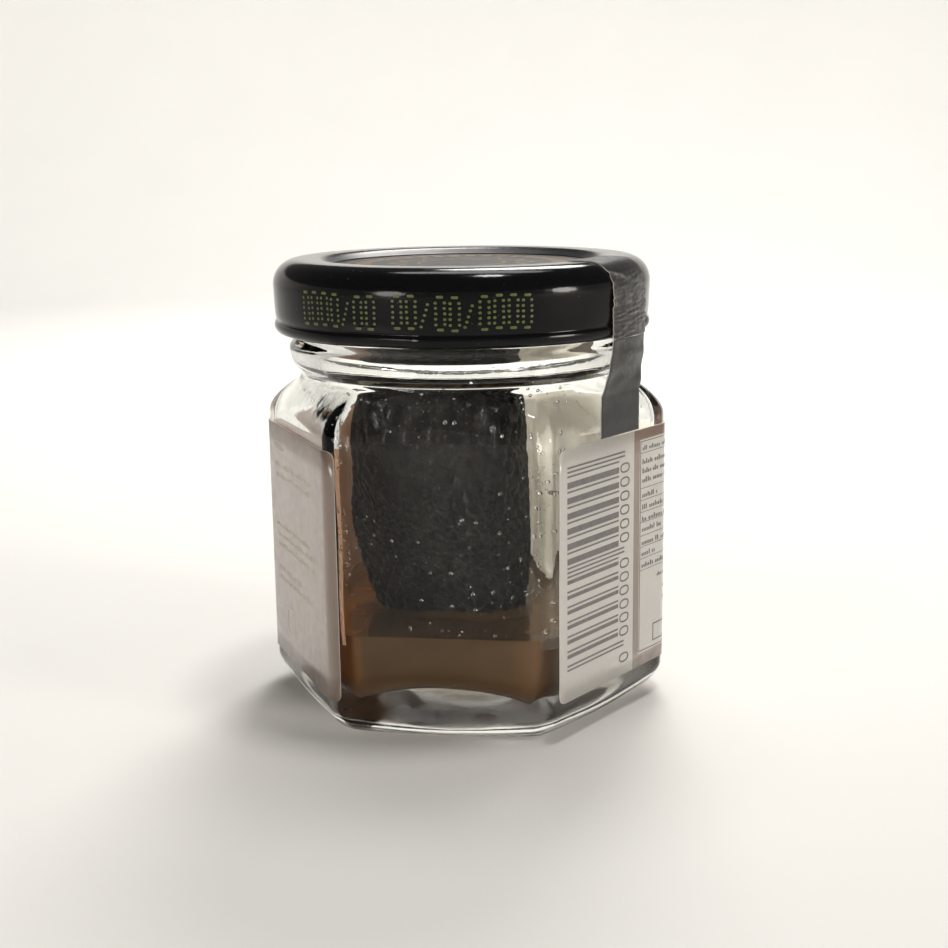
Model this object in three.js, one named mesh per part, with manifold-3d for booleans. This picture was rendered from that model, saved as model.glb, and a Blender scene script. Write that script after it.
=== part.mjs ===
// Black truffle preserved in a small six-sided glass jar with a twist-off lid.
// Millimetres, +Z up. The origin is the middle of the jar's footprint, and the bare face is at -Y.
import * as THREE from 'three';
import { mergeVertices } from 'three/addons/utils/BufferGeometryUtils.js';
import Module from 'manifold-3d';

const { lerp, clamp, degToRad, euclideanModulo } = THREE.MathUtils;

// Jar body: a hexagon with rounded corners that turns round at the neck.
const APOTHEM = 22.1;
const CORNER_RADIUS = 2.6;
const WALL = 2.2;
const HEEL_INSET = 3.06;
const HEEL_RISE = 3.79;
const HEEL_HEX_SHARE = 0.66;
const LAND_INNER = 16.4;
const PUSH_UP = 1.2;
const SHOULDER_START = 35.5;
const SHOULDER_END = 41.0;
const ROUND_SEGMENTS = 60;

// Jar neck and mouth.
const NECK_RADIUS = 20.0;
const BEAD_RADIUS = 21.58;
const BEAD_Z = 44.5;
const FINISH_RADIUS = 20.3;
const MOUTH_RADIUS = 18.0;
const RIM_Z = 53.7;

// Four short thread ridges that the lid's lugs hook under.
const LUG_ANGLES = [-108, -18, 72, 162];
const THREAD_CENTRE_RADIUS = 20.45;
const THREAD_ROUND = 0.75;
const THREAD_LOW_Z = 49.5;
const THREAD_HIGH_Z = 51.2;
const THREAD_SWEEP = 62;
const THREAD_LEAD = -6;

// Lid: pressed steel with a curled lower edge and a recessed centre.
const LID_RADIUS = 23.25;
const LID_TOP = 55.3;
const LID_EDGE_RADIUS = 3.0;
const LID_SHEET = 0.4;
const CURL_RADIUS = 0.96;
const CURL_BOTTOM = 46.45;
const RING_INNER = 17.2;
const PANEL_RADIUS = 15.8;
const PANEL_TOP = 54.45;
const LUG_DEPTH = 0.58;
const LUG_HALF_WIDTH = 13;

// Sealing ring inside the lid.
const LINER_INNER = 18.0;
const LINER_GAP = 0.06;

// Truffle: a squarish lump standing on a small flat spot.
const TRUFFLE_CENTRE = new THREE.Vector3(-2.1, -0.6, 21.9);
const TRUFFLE_HALF = new THREE.Vector3(11.6, 9.9, 17.0);
const TRUFFLE_PLAN_POWER = 2.6;
const TRUFFLE_HEIGHT_POWER = 4;
const TRUFFLE_TAPER = 0.3;
const TRUFFLE_LEAN = 0.07;
const TRUFFLE_REST = 5.96;
const TRUFFLE_DETAIL = 10;
const WART_COUNT = 240;
const WART_HEIGHT = 0.45;

// Juice at the bottom of the jar.
const JUICE_LEVEL = 11.5;
const JUICE_GAP = 0.1;
const JUICE_TRUFFLE_GAP = 0.35;

// Paper: the label round five faces and the seal strip over the lid.
const PAPER = 0.12;
const PAPER_GAP = 0.05;
const LABEL_BOTTOM = 4.6;
const LABEL_TOP = 34.7;
const LABEL_START = -10.9;
const LABEL_LENGTH = 125.3;
const LABEL_CORNER = 1.0;
const FIRST_FACE_ANGLE = -30;
const STRIP_LID_ANGLE = -24.0;
const STRIP_FACE_OFFSET = 1.75;
const STRIP_HALF_WIDTH = 4.15;
const STRIP_TOP_END = 17.7;
const STRIP_TEAR_Z = 46.5;
const STRIP_TEAR_GAP = 0.08;
const STRIP_BEND_Z = 39.8;
const STRIP_SAG = 1.5;
const STRIP_BOTTOM = 34.85;
const STRIP_COLUMNS = 6;

const wasm = await Module();
wasm.setup();

// ---------------------------------------------------------------- shared helpers

const v2 = (r, z) => new THREE.Vector2(r, z);

// Points of an ellipse quarter or arc, both ends included.
function arc(centre, radiusR, radiusZ, from, to, steps) {
  const points = [];
  for (let i = 0; i <= steps; i += 1) {
    const a = degToRad(lerp(from, to, i / steps));
    points.push(v2(centre.x + radiusR * Math.cos(a), centre.y + radiusZ * Math.sin(a)));
  }
  return points;
}

// A lathe solid whose axis is Z. The profile runs so that material lies on its left.
function lathe(profile) {
  const geometry = new THREE.LatheGeometry(profile, ROUND_SEGMENTS);
  geometry.rotateX(Math.PI / 2);
  return geometry;
}

// Moves every vertex in place: move(point) changes the point that it is given.
function moveVertices(geometry, move) {
  const position = geometry.attributes.position;
  const point = new THREE.Vector3();
  for (let i = 0; i < position.count; i += 1) {
    point.fromBufferAttribute(position, i);
    move(point);
    position.setXYZ(i, point.x, point.y, point.z);
  }
  return geometry;
}

// A closed geometry as a solid that can be joined and cut.
function solidOf(geometry) {
  const bare = new THREE.BufferGeometry();
  bare.setAttribute('position', geometry.attributes.position.clone());
  if (geometry.index) bare.setIndex(geometry.index.clone());
  const merged = mergeVertices(bare, 1e-4);
  const index = merged.index.array;
  const triangles = [];
  for (let i = 0; i < index.length; i += 3) {
    const [a, b, c] = [index[i], index[i + 1], index[i + 2]];
    if (a !== b && b !== c && c !== a) triangles.push(a, b, c);
  }
  return new wasm.Manifold(new wasm.Mesh({
    numProp: 3,
    vertProperties: new Float32Array(merged.attributes.position.array),
    triVerts: new Uint32Array(triangles),
  }));
}

function geometryOf(solid) {
  const mesh = solid.getMesh();
  const geometry = new THREE.BufferGeometry();
  geometry.setAttribute('position', new THREE.BufferAttribute(mesh.vertProperties, 3));
  geometry.setIndex(new THREE.BufferAttribute(mesh.triVerts, 1));
  geometry.computeVertexNormals();
  return geometry;
}

function part(name, geometry, color, roughness, metalness = 0) {
  const mesh = new THREE.Mesh(geometry, new THREE.MeshStandardMaterial({ color, roughness, metalness }));
  mesh.name = name;
  return mesh;
}

// ---------------------------------------------------------------- hexagon

// Angle from the middle of the nearest flat, -30 to 30 degrees. Corners lie at 0, 60, 120...
function fromFlat(angle) {
  return euclideanModulo(angle, Math.PI / 3) - Math.PI / 6;
}

// Distance to the rounded hexagon for an apothem of 1.
function hexRatio(angle) {
  const t = Math.abs(fromFlat(angle));
  const corner = CORNER_RADIUS / APOTHEM;
  const cornerCentre = (1 - corner) / Math.cos(Math.PI / 6);
  const tangent = Math.atan((1 - corner) * Math.tan(Math.PI / 6));
  if (t <= tangent) return 1 / Math.cos(t);
  const off = Math.PI / 6 - t;
  return cornerCentre * Math.cos(off) + Math.sqrt(corner ** 2 - (cornerCentre * Math.sin(off)) ** 2);
}

// 1 where the jar is six-sided, 0 where it is round.
function hexShare(z) {
  if (z < HEEL_RISE) return lerp(HEEL_HEX_SHARE, 1, Math.sin((Math.max(z, 0) / HEEL_RISE) * Math.PI / 2));
  const t = clamp((SHOULDER_END - z) / (SHOULDER_END - SHOULDER_START), 0, 1);
  return Math.sin(t * Math.PI / 2) ** 1.15;
}

function jarRatio(angle, z) {
  return lerp(1, hexRatio(angle), hexShare(z));
}

// Turns a round solid into the jar's shape, with more vertices towards each corner.
function hexWarp(geometry) {
  return moveVertices(geometry, (p) => {
    const radius = Math.hypot(p.x, p.y);
    if (radius < 1e-6) return;
    const angle = Math.atan2(p.y, p.x);
    const t = fromFlat(angle);
    const s = Math.abs(t) / (Math.PI / 6);
    const crowded = Math.sign(t) * (Math.PI / 6) * (1 - (1 - s) ** 2);
    const turned = angle + hexShare(p.z) * (crowded - t);
    const reach = radius * jarRatio(turned, p.z);
    p.x = reach * Math.cos(turned);
    p.y = reach * Math.sin(turned);
  });
}

// ---------------------------------------------------------------- glass jar

// Outer radius at the middle of a face, from the wall's top to the neck.
const SHOULDER = [
  v2(APOTHEM, 35.5), v2(22.08, 36.5), v2(21.9, 37.5), v2(21.55, 38.4), v2(21.1, 39.2),
  v2(20.6, 39.9), v2(20.2, 40.6), v2(NECK_RADIUS, 41.4),
];

function jarFloor() {
  return [v2(19.9, 9.0), v2(19.6, 7.0), v2(18.8, 5.7), v2(17.4, 5.0), v2(15.2, 4.9),
    v2(11.5, 5.35), v2(6, 5.8), v2(0, 5.9)];
}

function jarOutside() {
  const landOuter = APOTHEM - HEEL_INSET;
  return [
    v2(0, PUSH_UP), v2(8, PUSH_UP * 0.92), v2(13.5, PUSH_UP * 0.5), v2(LAND_INNER, 0),
    ...arc(v2(landOuter, HEEL_RISE), HEEL_INSET, HEEL_RISE, -90, 0, 5),
    ...SHOULDER,
    v2(20.02, 42.4), v2(20.75, 43.2), v2(21.42, 43.8), v2(BEAD_RADIUS, BEAD_Z), v2(21.3, 45.2),
    v2(20.5, 45.7), v2(FINISH_RADIUS, 46.2), v2(FINISH_RADIUS, 52.7),
  ];
}

function jarInside() {
  return [
    v2(MOUTH_RADIUS, 52.9), v2(MOUTH_RADIUS, 46.5), v2(NECK_RADIUS - WALL, 41.6), v2(18.3, 40.2),
    v2(19.1, 38.6), v2(19.7, 37.0), v2(APOTHEM - WALL, 35.3), ...jarFloor(),
  ];
}

class ThreadPath extends THREE.Curve {
  constructor(startAngle) {
    super();
    this.startAngle = startAngle;
  }

  getPoint(t, target = new THREE.Vector3()) {
    const angle = degToRad(this.startAngle + t * THREAD_SWEEP);
    const z = lerp(THREAD_LOW_Z, THREAD_HIGH_Z, t);
    return target.set(THREAD_CENTRE_RADIUS * Math.cos(angle), THREAD_CENTRE_RADIUS * Math.sin(angle), z);
  }
}

function threadRidge(lugAngle) {
  const section = new THREE.Shape();
  section.absarc(0, 0, THREAD_ROUND, 0, Math.PI * 2);
  return new THREE.ExtrudeGeometry(section, {
    steps: 9, curveSegments: 4, bevelEnabled: false, extrudePath: new ThreadPath(lugAngle + THREAD_LEAD),
  });
}

function glassJar() {
  const rim = arc(v2(19.15, 52.75), 1.15, RIM_Z - 52.75, 0, 180, 6);
  const profile = [...jarOutside(), ...rim.slice(1, -1), ...jarInside()];
  let jar = solidOf(hexWarp(lathe(profile)));
  for (const angle of LUG_ANGLES) jar = jar.add(solidOf(threadRidge(angle)));
  return part('glass_jar', geometryOf(jar), '#dfe6e0', 0.05);
}

// ---------------------------------------------------------------- truffle and juice

// Evenly spread directions for the middles of the warts.
function wartCentres() {
  const centres = [];
  for (let i = 0; i < WART_COUNT; i += 1) {
    const z = 1 - (2 * i + 1) / WART_COUNT;
    const angle = i * Math.PI * (3 - Math.sqrt(5));
    const ring = Math.sqrt(1 - z * z);
    centres.push(new THREE.Vector3(ring * Math.cos(angle), ring * Math.sin(angle), z));
  }
  return centres;
}

// Height of the warty skin, 0 in the grooves and 1 on a wart.
function wartShape(direction, centres) {
  let nearest = 9;
  let second = 9;
  for (const centre of centres) {
    const distance = direction.distanceTo(centre);
    if (distance < nearest) {
      second = nearest;
      nearest = distance;
    } else if (distance < second) {
      second = distance;
    }
  }
  return clamp((second - nearest) / 0.1, 0, 1);
}

// Slow bulges and hollows of the lump.
function lumps(d) {
  return 0.045 * Math.sin(3.1 * d.x + 2.3 * d.z + 0.6) + 0.03 * Math.sin(5.3 * d.y - 3.7 * d.z + 1.9)
    + 0.025 * Math.sin(6.1 * d.x - 4.9 * d.y + 0.4) + 0.018 * Math.sin(8.3 * d.z + 5.1 * d.x - 1.2);
}

function truffleShape(grow) {
  const centres = wartCentres();
  const geometry = new THREE.IcosahedronGeometry(1, TRUFFLE_DETAIL);
  const half = TRUFFLE_HALF;
  return moveVertices(geometry, (p) => {
    const d = p.clone().normalize();
    const plan = (Math.abs(d.x / half.x) ** TRUFFLE_PLAN_POWER
      + Math.abs(d.y / half.y) ** TRUFFLE_PLAN_POWER) ** (1 / TRUFFLE_PLAN_POWER);
    const whole = (plan ** TRUFFLE_HEIGHT_POWER
      + Math.abs(d.z / half.z) ** TRUFFLE_HEIGHT_POWER) ** (1 / TRUFFLE_HEIGHT_POWER);
    p.copy(d).multiplyScalar((1 + lumps(d)) / whole + WART_HEIGHT * wartShape(d, centres) + grow);
    const waist = 1 - TRUFFLE_TAPER * Math.max(0, -p.z / half.z);
    p.set(p.x * waist - TRUFFLE_LEAN * p.z, p.y * waist, p.z).add(TRUFFLE_CENTRE);
    p.z = Math.max(p.z, TRUFFLE_REST - grow);
  });
}

function truffle() {
  return part('truffle', truffleShape(0), '#14120f', 0.8);
}

function truffleJuice() {
  const floor = jarFloor().map((p) => v2(Math.max(p.x - (p.x > 17 ? JUICE_GAP : 0), 0), p.y + JUICE_GAP));
  const profile = [...floor.reverse(), v2(APOTHEM - WALL - JUICE_GAP, JUICE_LEVEL), v2(0, JUICE_LEVEL)];
  const body = solidOf(hexWarp(lathe(profile)));
  const juice = body.subtract(solidOf(truffleShape(JUICE_TRUFFLE_GAP)));
  return part('truffle_juice', geometryOf(juice), '#5a3a1a', 0.15);
}

// ---------------------------------------------------------------- lid

// How far a lug pushes the curl inwards at this angle and height, 0 to 1.
function lugPush(angle, z) {
  const heightShare = clamp((49.0 - z) / 0.8, 0, 1);
  let share = 0;
  for (const lug of LUG_ANGLES) {
    const away = Math.abs(euclideanModulo((angle * 180) / Math.PI - lug + 180, 360) - 180);
    if (away < LUG_HALF_WIDTH) share = Math.cos((away / LUG_HALF_WIDTH) * Math.PI / 2) ** 0.7;
  }
  return share * heightShare;
}

function lidShell() {
  const edgeCentre = v2(LID_RADIUS - LID_EDGE_RADIUS, LID_TOP - LID_EDGE_RADIUS);
  const curlCentre = v2(LID_RADIUS - CURL_RADIUS, CURL_BOTTOM + CURL_RADIUS);
  const innerEdge = LID_EDGE_RADIUS - LID_SHEET;
  const outside = [
    ...arc(curlCentre, CURL_RADIUS, CURL_RADIUS, -90, 45, 4),
    v2(LID_RADIUS - 0.14, 48.9),
    ...arc(edgeCentre, LID_EDGE_RADIUS, LID_EDGE_RADIUS, 0, 90, 5),
    v2(RING_INNER, LID_TOP), v2(PANEL_RADIUS, PANEL_TOP), v2(0, PANEL_TOP),
  ];
  const inside = [
    v2(0, PANEL_TOP - LID_SHEET), v2(PANEL_RADIUS + 0.1, PANEL_TOP - LID_SHEET),
    v2(RING_INNER + 0.1, LID_TOP - LID_SHEET),
    ...arc(edgeCentre, innerEdge, innerEdge, 90, 0, 4),
    v2(LID_RADIUS - LID_SHEET - 0.14, 49.2),
    ...arc(curlCentre, CURL_RADIUS, CURL_RADIUS, 110, 225, 4),
  ];
  const geometry = moveVertices(lathe([...outside, ...inside, outside[0]]), (p) => {
    const angle = Math.atan2(p.y, p.x);
    const radius = Math.hypot(p.x, p.y);
    const share = radius > 0 ? 1 - (LUG_DEPTH * lugPush(angle, p.z)) / radius : 1;
    p.x *= share;
    p.y *= share;
  });
  return part('lid_shell', geometry, '#0c0c0d', 0.25, 0.5);
}

function lidLiner() {
  const bottom = RIM_Z + LINER_GAP;
  const top = LID_TOP - LID_SHEET - LINER_GAP;
  const profile = [v2(LINER_INNER, bottom), v2(21.5, bottom), v2(21.85, bottom + 0.3), v2(21.3, top - 0.3),
    v2(20.3, top), v2(LINER_INNER, top), v2(LINER_INNER, bottom)];
  return part('lid_liner', lathe(profile), '#d8d2c4', 0.6);
}

// ---------------------------------------------------------------- paper

// The jar's outline at body height: a flat and a corner arc for each sixth of the way round.
const FLAT_END = (APOTHEM - CORNER_RADIUS) * Math.tan(Math.PI / 6);
const CORNER_LENGTH = CORNER_RADIUS * (Math.PI / 3);
const SIXTH_LENGTH = 2 * FLAT_END + CORNER_LENGTH;

// A place on the outline, s millimetres anticlockwise from the middle of the first face.
function outlinePoint(s) {
  const sixth = Math.floor((s + FLAT_END) / SIXTH_LENGTH);
  const u = s - sixth * SIXTH_LENGTH;
  const turn = clamp((u - FLAT_END) / CORNER_RADIUS, 0, Math.PI / 3);
  const flat = degToRad(FIRST_FACE_ANGLE + 60 * sixth);
  const [nx, ny] = [Math.cos(flat + turn), Math.sin(flat + turn)];
  if (turn === 0) return { x: APOTHEM * nx - u * ny, y: APOTHEM * ny + u * nx, nx, ny };
  const reach = (APOTHEM - CORNER_RADIUS) / Math.cos(Math.PI / 6);
  const corner = flat + Math.PI / 6;
  const [centreX, centreY] = [reach * Math.cos(corner), reach * Math.sin(corner)];
  return { x: centreX + CORNER_RADIUS * nx, y: centreY + CORNER_RADIUS * ny, nx, ny };
}

// Columns of the label: where they stand on the outline and how much the upper and lower
// edges are trimmed there for its rounded corners.
function labelColumns() {
  const start = LABEL_START;
  const end = LABEL_START + LABEL_LENGTH;
  const columns = [];
  for (let i = 0; i <= 4; i += 1) {
    const a = (i / 4) * (Math.PI / 2);
    const inward = LABEL_CORNER * (1 - Math.cos(a));
    const trim = LABEL_CORNER * (1 - Math.sin(a));
    columns.push({ s: start + inward, trim }, { s: end - inward, trim });
  }
  for (let sixth = 0; sixth * SIXTH_LENGTH < end; sixth += 1) {
    for (let i = 0; i <= 6; i += 1) {
      const s = sixth * SIXTH_LENGTH + FLAT_END + (i / 6) * CORNER_LENGTH;
      if (s < end - LABEL_CORNER - 0.05) columns.push({ s, trim: 0 });
    }
  }
  return columns.sort((a, b) => a.s - b.s);
}

function wrapLabel() {
  const columns = labelColumns();
  const last = columns.length - 1;
  const geometry = moveVertices(new THREE.BoxGeometry(1, 1, 1, last, 1, 1), (p) => {
    const { s, trim } = columns[Math.round((p.x + 0.5) * last)];
    const { x, y, nx, ny } = outlinePoint(s);
    const out = PAPER_GAP + (p.z > 0 ? PAPER : 0);
    p.set(x + out * nx, y + out * ny, p.y > 0 ? LABEL_TOP - trim : LABEL_BOTTOM + trim);
  });
  return part('wrap_label', geometry, '#c9c7c2', 0.6);
}

// A sheet of paper from a grid: place(row, side, out) gives a point, where side runs from
// -1 to 1 across the strip and out is the distance above what carries the paper.
function paperStrip(rows, place) {
  const geometry = new THREE.BoxGeometry(1, 1, 1, STRIP_COLUMNS, rows - 1, 1);
  return moveVertices(geometry, (p) => {
    const row = Math.round((0.5 - p.y) * (rows - 1));
    p.copy(place(row, p.x * 2, PAPER_GAP + (p.z > 0 ? PAPER : 0)));
  });
}

// A point of the lid's surface of radius r and height z, at a fixed distance from the
// vertical plane through the strip's middle, so that the strip's edges run straight.
function onLid(r, z, across) {
  const local = new THREE.Vector3(Math.sqrt(r * r - across * across), across, z);
  return local.applyAxisAngle(new THREE.Vector3(0, 0, 1), degToRad(STRIP_LID_ANGLE));
}

function sealStripUpper() {
  const edgeCentre = v2(LID_RADIUS - LID_EDGE_RADIUS, LID_TOP - LID_EDGE_RADIUS);
  const path = [{ r: STRIP_TOP_END, z: LID_TOP, out: v2(0, 1) }];
  for (let i = 0; i <= 5; i += 1) {
    const a = degToRad(90 - i * 18);
    const out = v2(Math.cos(a), Math.sin(a));
    path.push({ r: edgeCentre.x + LID_EDGE_RADIUS * out.x, z: edgeCentre.y + LID_EDGE_RADIUS * out.y, out });
  }
  path.push({ r: LID_RADIUS, z: 49.4, out: v2(1, 0) });
  path.push({ r: LID_RADIUS, z: STRIP_TEAR_Z, out: v2(1, 0) });
  const geometry = paperStrip(path.length, (row, side, out) => {
    const { r, z, out: away } = path[row];
    return onLid(r + out * away.x, z + out * away.y, side * STRIP_HALF_WIDTH);
  });
  return part('seal_strip_upper', geometry, '#2a2a2b', 0.45);
}

// A point of the first face's plane, which the strip keeps to past its bend.
function onFirstFace(z, across, out) {
  const flat = degToRad(FIRST_FACE_ANGLE);
  const [nx, ny] = [Math.cos(flat), Math.sin(flat)];
  const u = STRIP_FACE_OFFSET + across;
  return new THREE.Vector3((APOTHEM + out) * nx - u * ny, (APOTHEM + out) * ny + u * nx, z);
}

// From the tear line under the lid the strip hangs free to its bend, then lies on the face.
function sealStripLower() {
  const topZ = STRIP_TEAR_Z - STRIP_TEAR_GAP;
  const freeRows = 7;
  const faceZ = [38.6, 37.2, 36.0, STRIP_BOTTOM];
  const geometry = paperStrip(freeRows + 1 + faceZ.length, (row, side, out) => {
    const across = side * STRIP_HALF_WIDTH;
    if (row > freeRows) return onFirstFace(faceZ[row - freeRows - 1], across, out);
    const t = row / freeRows;
    const point = onLid(LID_RADIUS + out, topZ, across);
    point.lerp(onFirstFace(STRIP_BEND_Z, across, out), t ** STRIP_SAG);
    return point.setZ(lerp(topZ, STRIP_BEND_Z, t));
  });
  return part('seal_strip_lower', geometry, '#2a2a2b', 0.45);
}

// ---------------------------------------------------------------- assembly

const jar = new THREE.Group();
jar.add(glassJar(), truffle(), truffleJuice(), wrapLabel(), sealStripLower());

const lid = new THREE.Group();
lid.add(lidShell(), lidLiner(), sealStripUpper());

const object = new THREE.Group();
object.add(jar, lid);

export default object;
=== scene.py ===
import random
from math import (
    atan, atan2, ceil, copysign, cos, degrees, dist, exp, hypot, pi, radians, sin, sqrt, tan)

import bmesh
import bpy
from bpy.props import FloatProperty, FloatVectorProperty, IntProperty, PointerProperty
from bpy.types import Operator, Panel, PropertyGroup
from mathutils import Matrix, Vector, kdtree, noise


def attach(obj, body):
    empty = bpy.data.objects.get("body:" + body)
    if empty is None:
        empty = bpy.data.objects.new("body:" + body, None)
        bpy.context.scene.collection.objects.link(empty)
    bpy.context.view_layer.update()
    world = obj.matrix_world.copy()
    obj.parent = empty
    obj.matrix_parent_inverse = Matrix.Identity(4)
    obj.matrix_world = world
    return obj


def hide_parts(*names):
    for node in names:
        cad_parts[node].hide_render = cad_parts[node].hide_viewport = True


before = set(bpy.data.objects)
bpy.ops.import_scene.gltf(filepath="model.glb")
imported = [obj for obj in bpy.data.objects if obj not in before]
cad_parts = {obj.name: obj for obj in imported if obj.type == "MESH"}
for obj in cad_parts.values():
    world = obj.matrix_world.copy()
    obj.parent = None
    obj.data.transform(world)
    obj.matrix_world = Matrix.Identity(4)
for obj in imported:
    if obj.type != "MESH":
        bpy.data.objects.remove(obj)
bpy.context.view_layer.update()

bl_info = {
    "name": "Truffle jar",
    "version": (1, 0, 0),
    "blender": (4, 5, 0),
    "location": "View3D > Sidebar > Truffle jar",
    "description": "A black truffle in a six-sided glass jar with its label, seal strip and twist-off lid",
    "category": "Add Mesh",
}

# Lengths below are millimetres. Finished meshes are scaled to metres by MM.
MM = 0.001

# Jar body
APOTHEM = 22.1
CORNER_RADIUS = 2.6
WALL = 2.2
HEEL_INSET = 3.06
HEEL_RISE = 3.79
HEEL_HEX_SHARE = 0.66
LAND_INNER = 16.4
SHOULDER_START = 35.5
SHOULDER_END = 41.0
NECK_Z = 46
STIPPLE_HEIGHT = 0.16
FINISH_RADIUS = 20.3
MOUTH_RADIUS = 18.0
RIM_CENTRE = (19.15, 52.75)
RIM_HALF = (1.15, 0.95)
JAR_STEPS = 240
SIXTH = pi / 3

# Thread and lugs
LUG_ANGLES = (-108, -18, 72, 162)
THREAD_CENTRE_RADIUS = 20.45
THREAD_ROUND = 0.75
THREAD_LOW_Z = 49.5
THREAD_HIGH_Z = 51.2
THREAD_SWEEP = 62
THREAD_LEAD = -6
THREAD_ZONE = (46.5, 52.7)

# Lid
LID_RADIUS = 23.25
LID_TOP = 55.3
LID_EDGE = 3.0
LID_SHEET = 0.4
LID_SIDE_LOW = (LID_RADIUS - 0.12, 49.1)
CURL_RADIUS = 0.96
CURL_BOTTOM = 46.45
LUG_DEPTH = 0.58
LUG_HALF_WIDTH = 13
# Radii between which the top's rings, rays and wavy ring are printed
LID_RINGS = ((13.9, 14.3), (5.2, 5.5))
LID_RAYS = (11.2, 13.2)
LID_WAVE = (7.7, 8.25)

# Truffle and the juice that creeps up it
TRUFFLE_CENTRE = Vector((-2.1, -0.6, 21.9))
TRUFFLE_HALF = Vector((11.6, 9.9, 17.0))
TRUFFLE_TOP_HALF = 17.6
PLAN_POWER = 2.6
HEIGHT_POWER = 4
TOP_POWER = 7
TAPER = 0.3
LEAN = 0.07
TRUFFLE_REST = 5.96
WART_EDGE = 0.058
WART_DOME = 21
GOLDEN_ANGLE = pi * (3 - sqrt(5))
CREEP_HEIGHT = 0.95
CREEP_REACH = 0.7

# Paper. The table's numbers are its start, end, foot and top on the label.
PAPER = 0.12
PAPER_LIFT = 0.05 + PAPER
INK_LIFT = 0.02
MAP_SPAN = 200
LABEL_BOTTOM = 4.6
LABEL_TOP = 34.7
LABEL_START = -10.9
LABEL_LENGTH = 125.3
LABEL_CORNER = 1.0
FIRST_PANEL_END = 4.9
TABLE_PANEL = (6.2, 35.6, 6.2, 33.4)
TABLE_FRAME = (6.35, 35.4, 6.4, 33.2)
FLAT_END = (APOTHEM - CORNER_RADIUS) * tan(pi / 6)
CORNER_LENGTH = CORNER_RADIUS * SIXTH
SIXTH_LENGTH = 2 * FLAT_END + CORNER_LENGTH
FIRST_FACE = radians(-30)
STRIP_LID_ANGLE = radians(-24)
STRIP_FACE_OFFSET = 1.75
STRIP_HALF_WIDTH = 4.15
STRIP_TOP_END = 17.7
STRIP_TEAR_Z = 46.5
STRIP_TEAR_GAP = 0.08
STRIP_SAG = 1.5
STRIP_BEND_Z = 39.8
STRIP_BOTTOM = 34.85

# Stage: a pale floor that curves up to a low wall all the way round, under soft lamps
FLOOR_RADIUS = 550
WALL_CURVE = 250
ROOM_LIGHT = 0.10
CAMERA_PLACE = Vector((27.02, -187.10, 67.77))
CAMERA_RIGHT = Vector((0.99093, 0.13379, -0.01284))
CAMERA_UP = Vector((-0.01535, 0.20756, 0.97810))
CAMERA_BACK = Vector((0.13353, -0.96903, 0.20773))
# Name, place, what it points at, width, power in watts and colour
LAMPS = (
    ("window_right", (640, -235, 145), (0, 0, 40), 200, 2.4, (1.0, 0.96, 0.91)),
    ("window_front", (-340, -500, 120), (0, 0, 35), 200, 1.35, (1.0, 0.97, 0.93)),
    ("top_light", (60, -5, 400), (0, 0, 55), 60, 0.4, (1.0, 0.98, 0.95)),
    ("overhead", (20, 380, 400), (0, 170, 20), 200, 1.6, (1.0, 0.98, 0.95)),
    ("backdrop_light", (0, 330, 760), (0, 760, 200), 500, 3.9, (1.0, 1.0, 0.99)),
)


# ---- settings

def colour_property(name, description, default):
    return FloatVectorProperty(
        name=name, description=description, default=default, subtype="COLOR", size=3, min=0, max=1)


def length_property(name, description, default):
    """A length whose default is given in millimetres."""
    return FloatProperty(name=name, description=description, default=default * MM, unit="LENGTH")


class JarSettings(PropertyGroup):
    glass: colour_property("Glass", "Tint of the glass", (0.975, 0.985, 0.965))
    wave: length_property("Wave", "How far the inside of the glass wanders", 0.09)
    droplets: IntProperty(
        name="Droplets", description="Drops of condensation inside the glass", default=1000, min=0)


class TruffleSettings(PropertyGroup):
    skin: colour_property("Skin", "Colour of the warts", (0.005, 0.0048, 0.0046))
    groove: colour_property("Grooves", "Colour between the warts", (0.011, 0.009, 0.0075))
    warts: IntProperty(name="Warts", description="Warts over the whole skin", default=850, min=40)
    wart_height: length_property("Wart height", "How far a wart stands out", 0.45)


class JuiceSettings(PropertyGroup):
    level: length_property("Level", "Height of the juice", 11.5)
    colour: colour_property("Juice", "Colour of the juice in the middle", (0.064, 0.036, 0.0145))
    # Partly painted light: the thin juice of the left corner as it looks with light shining through it.
    edge: colour_property("Thin juice", "Colour of the juice in a corner", (0.17, 0.058, 0.006))


class LabelSettings(PropertyGroup):
    paper: colour_property("Panel", "Colour of the pale panels", (0.435, 0.415, 0.385))
    ground: colour_property("Ground", "Colour of the label round the panels", (0.19, 0.135, 0.105))
    # Partly painted shade: the glued side of the last two faces, darker than the rest.
    back_print_and_shade: colour_property(
        "Dark back", "Colour of the glued side of the last two faces", (0.36, 0.215, 0.14))
    back: colour_property("Back", "Colour of the glued side", (0.88, 0.80, 0.71))
    ink: colour_property("Dark ink", "Colour of the bars and rules", (0.095, 0.088, 0.084))
    pale_ink: colour_property("Pale ink", "Colour of the light lines", (0.42, 0.375, 0.31))


class StripSettings(PropertyGroup):
    paper: colour_property("Strip", "Colour of the seal strip", (0.021, 0.0207, 0.0207))
    crease: length_property("Crease", "Height of the creases", 0.17)


class LidSettings(PropertyGroup):
    lacquer: colour_property("Lacquer", "Colour of the lid", (0.0035, 0.0035, 0.0042))
    ring: colour_property("Rings", "Colour of the rings on the top", (0.24, 0.13, 0.05))
    code: colour_property("Dot print", "Colour of the dot print", (0.060, 0.075, 0.008))


class StageSettings(PropertyGroup):
    floor: colour_property("Floor", "Colour of the floor", (0.84, 0.825, 0.79))
    lens: FloatProperty(
        name="Lens", description="Focal length of the camera", default=57.54, unit="CAMERA")


class TruffleJarSettings(PropertyGroup):
    jar: PointerProperty(type=JarSettings)
    truffle: PointerProperty(type=TruffleSettings)
    juice: PointerProperty(type=JuiceSettings)
    label: PointerProperty(type=LabelSettings)
    strip: PointerProperty(type=StripSettings)
    lid: PointerProperty(type=LidSettings)
    stage: PointerProperty(type=StageSettings)


# ---- shared maths

def lerp(a, b, t):
    return a + (b - a) * t


def clamp(value, low=0.0, high=1.0):
    return max(low, min(high, value))


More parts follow.
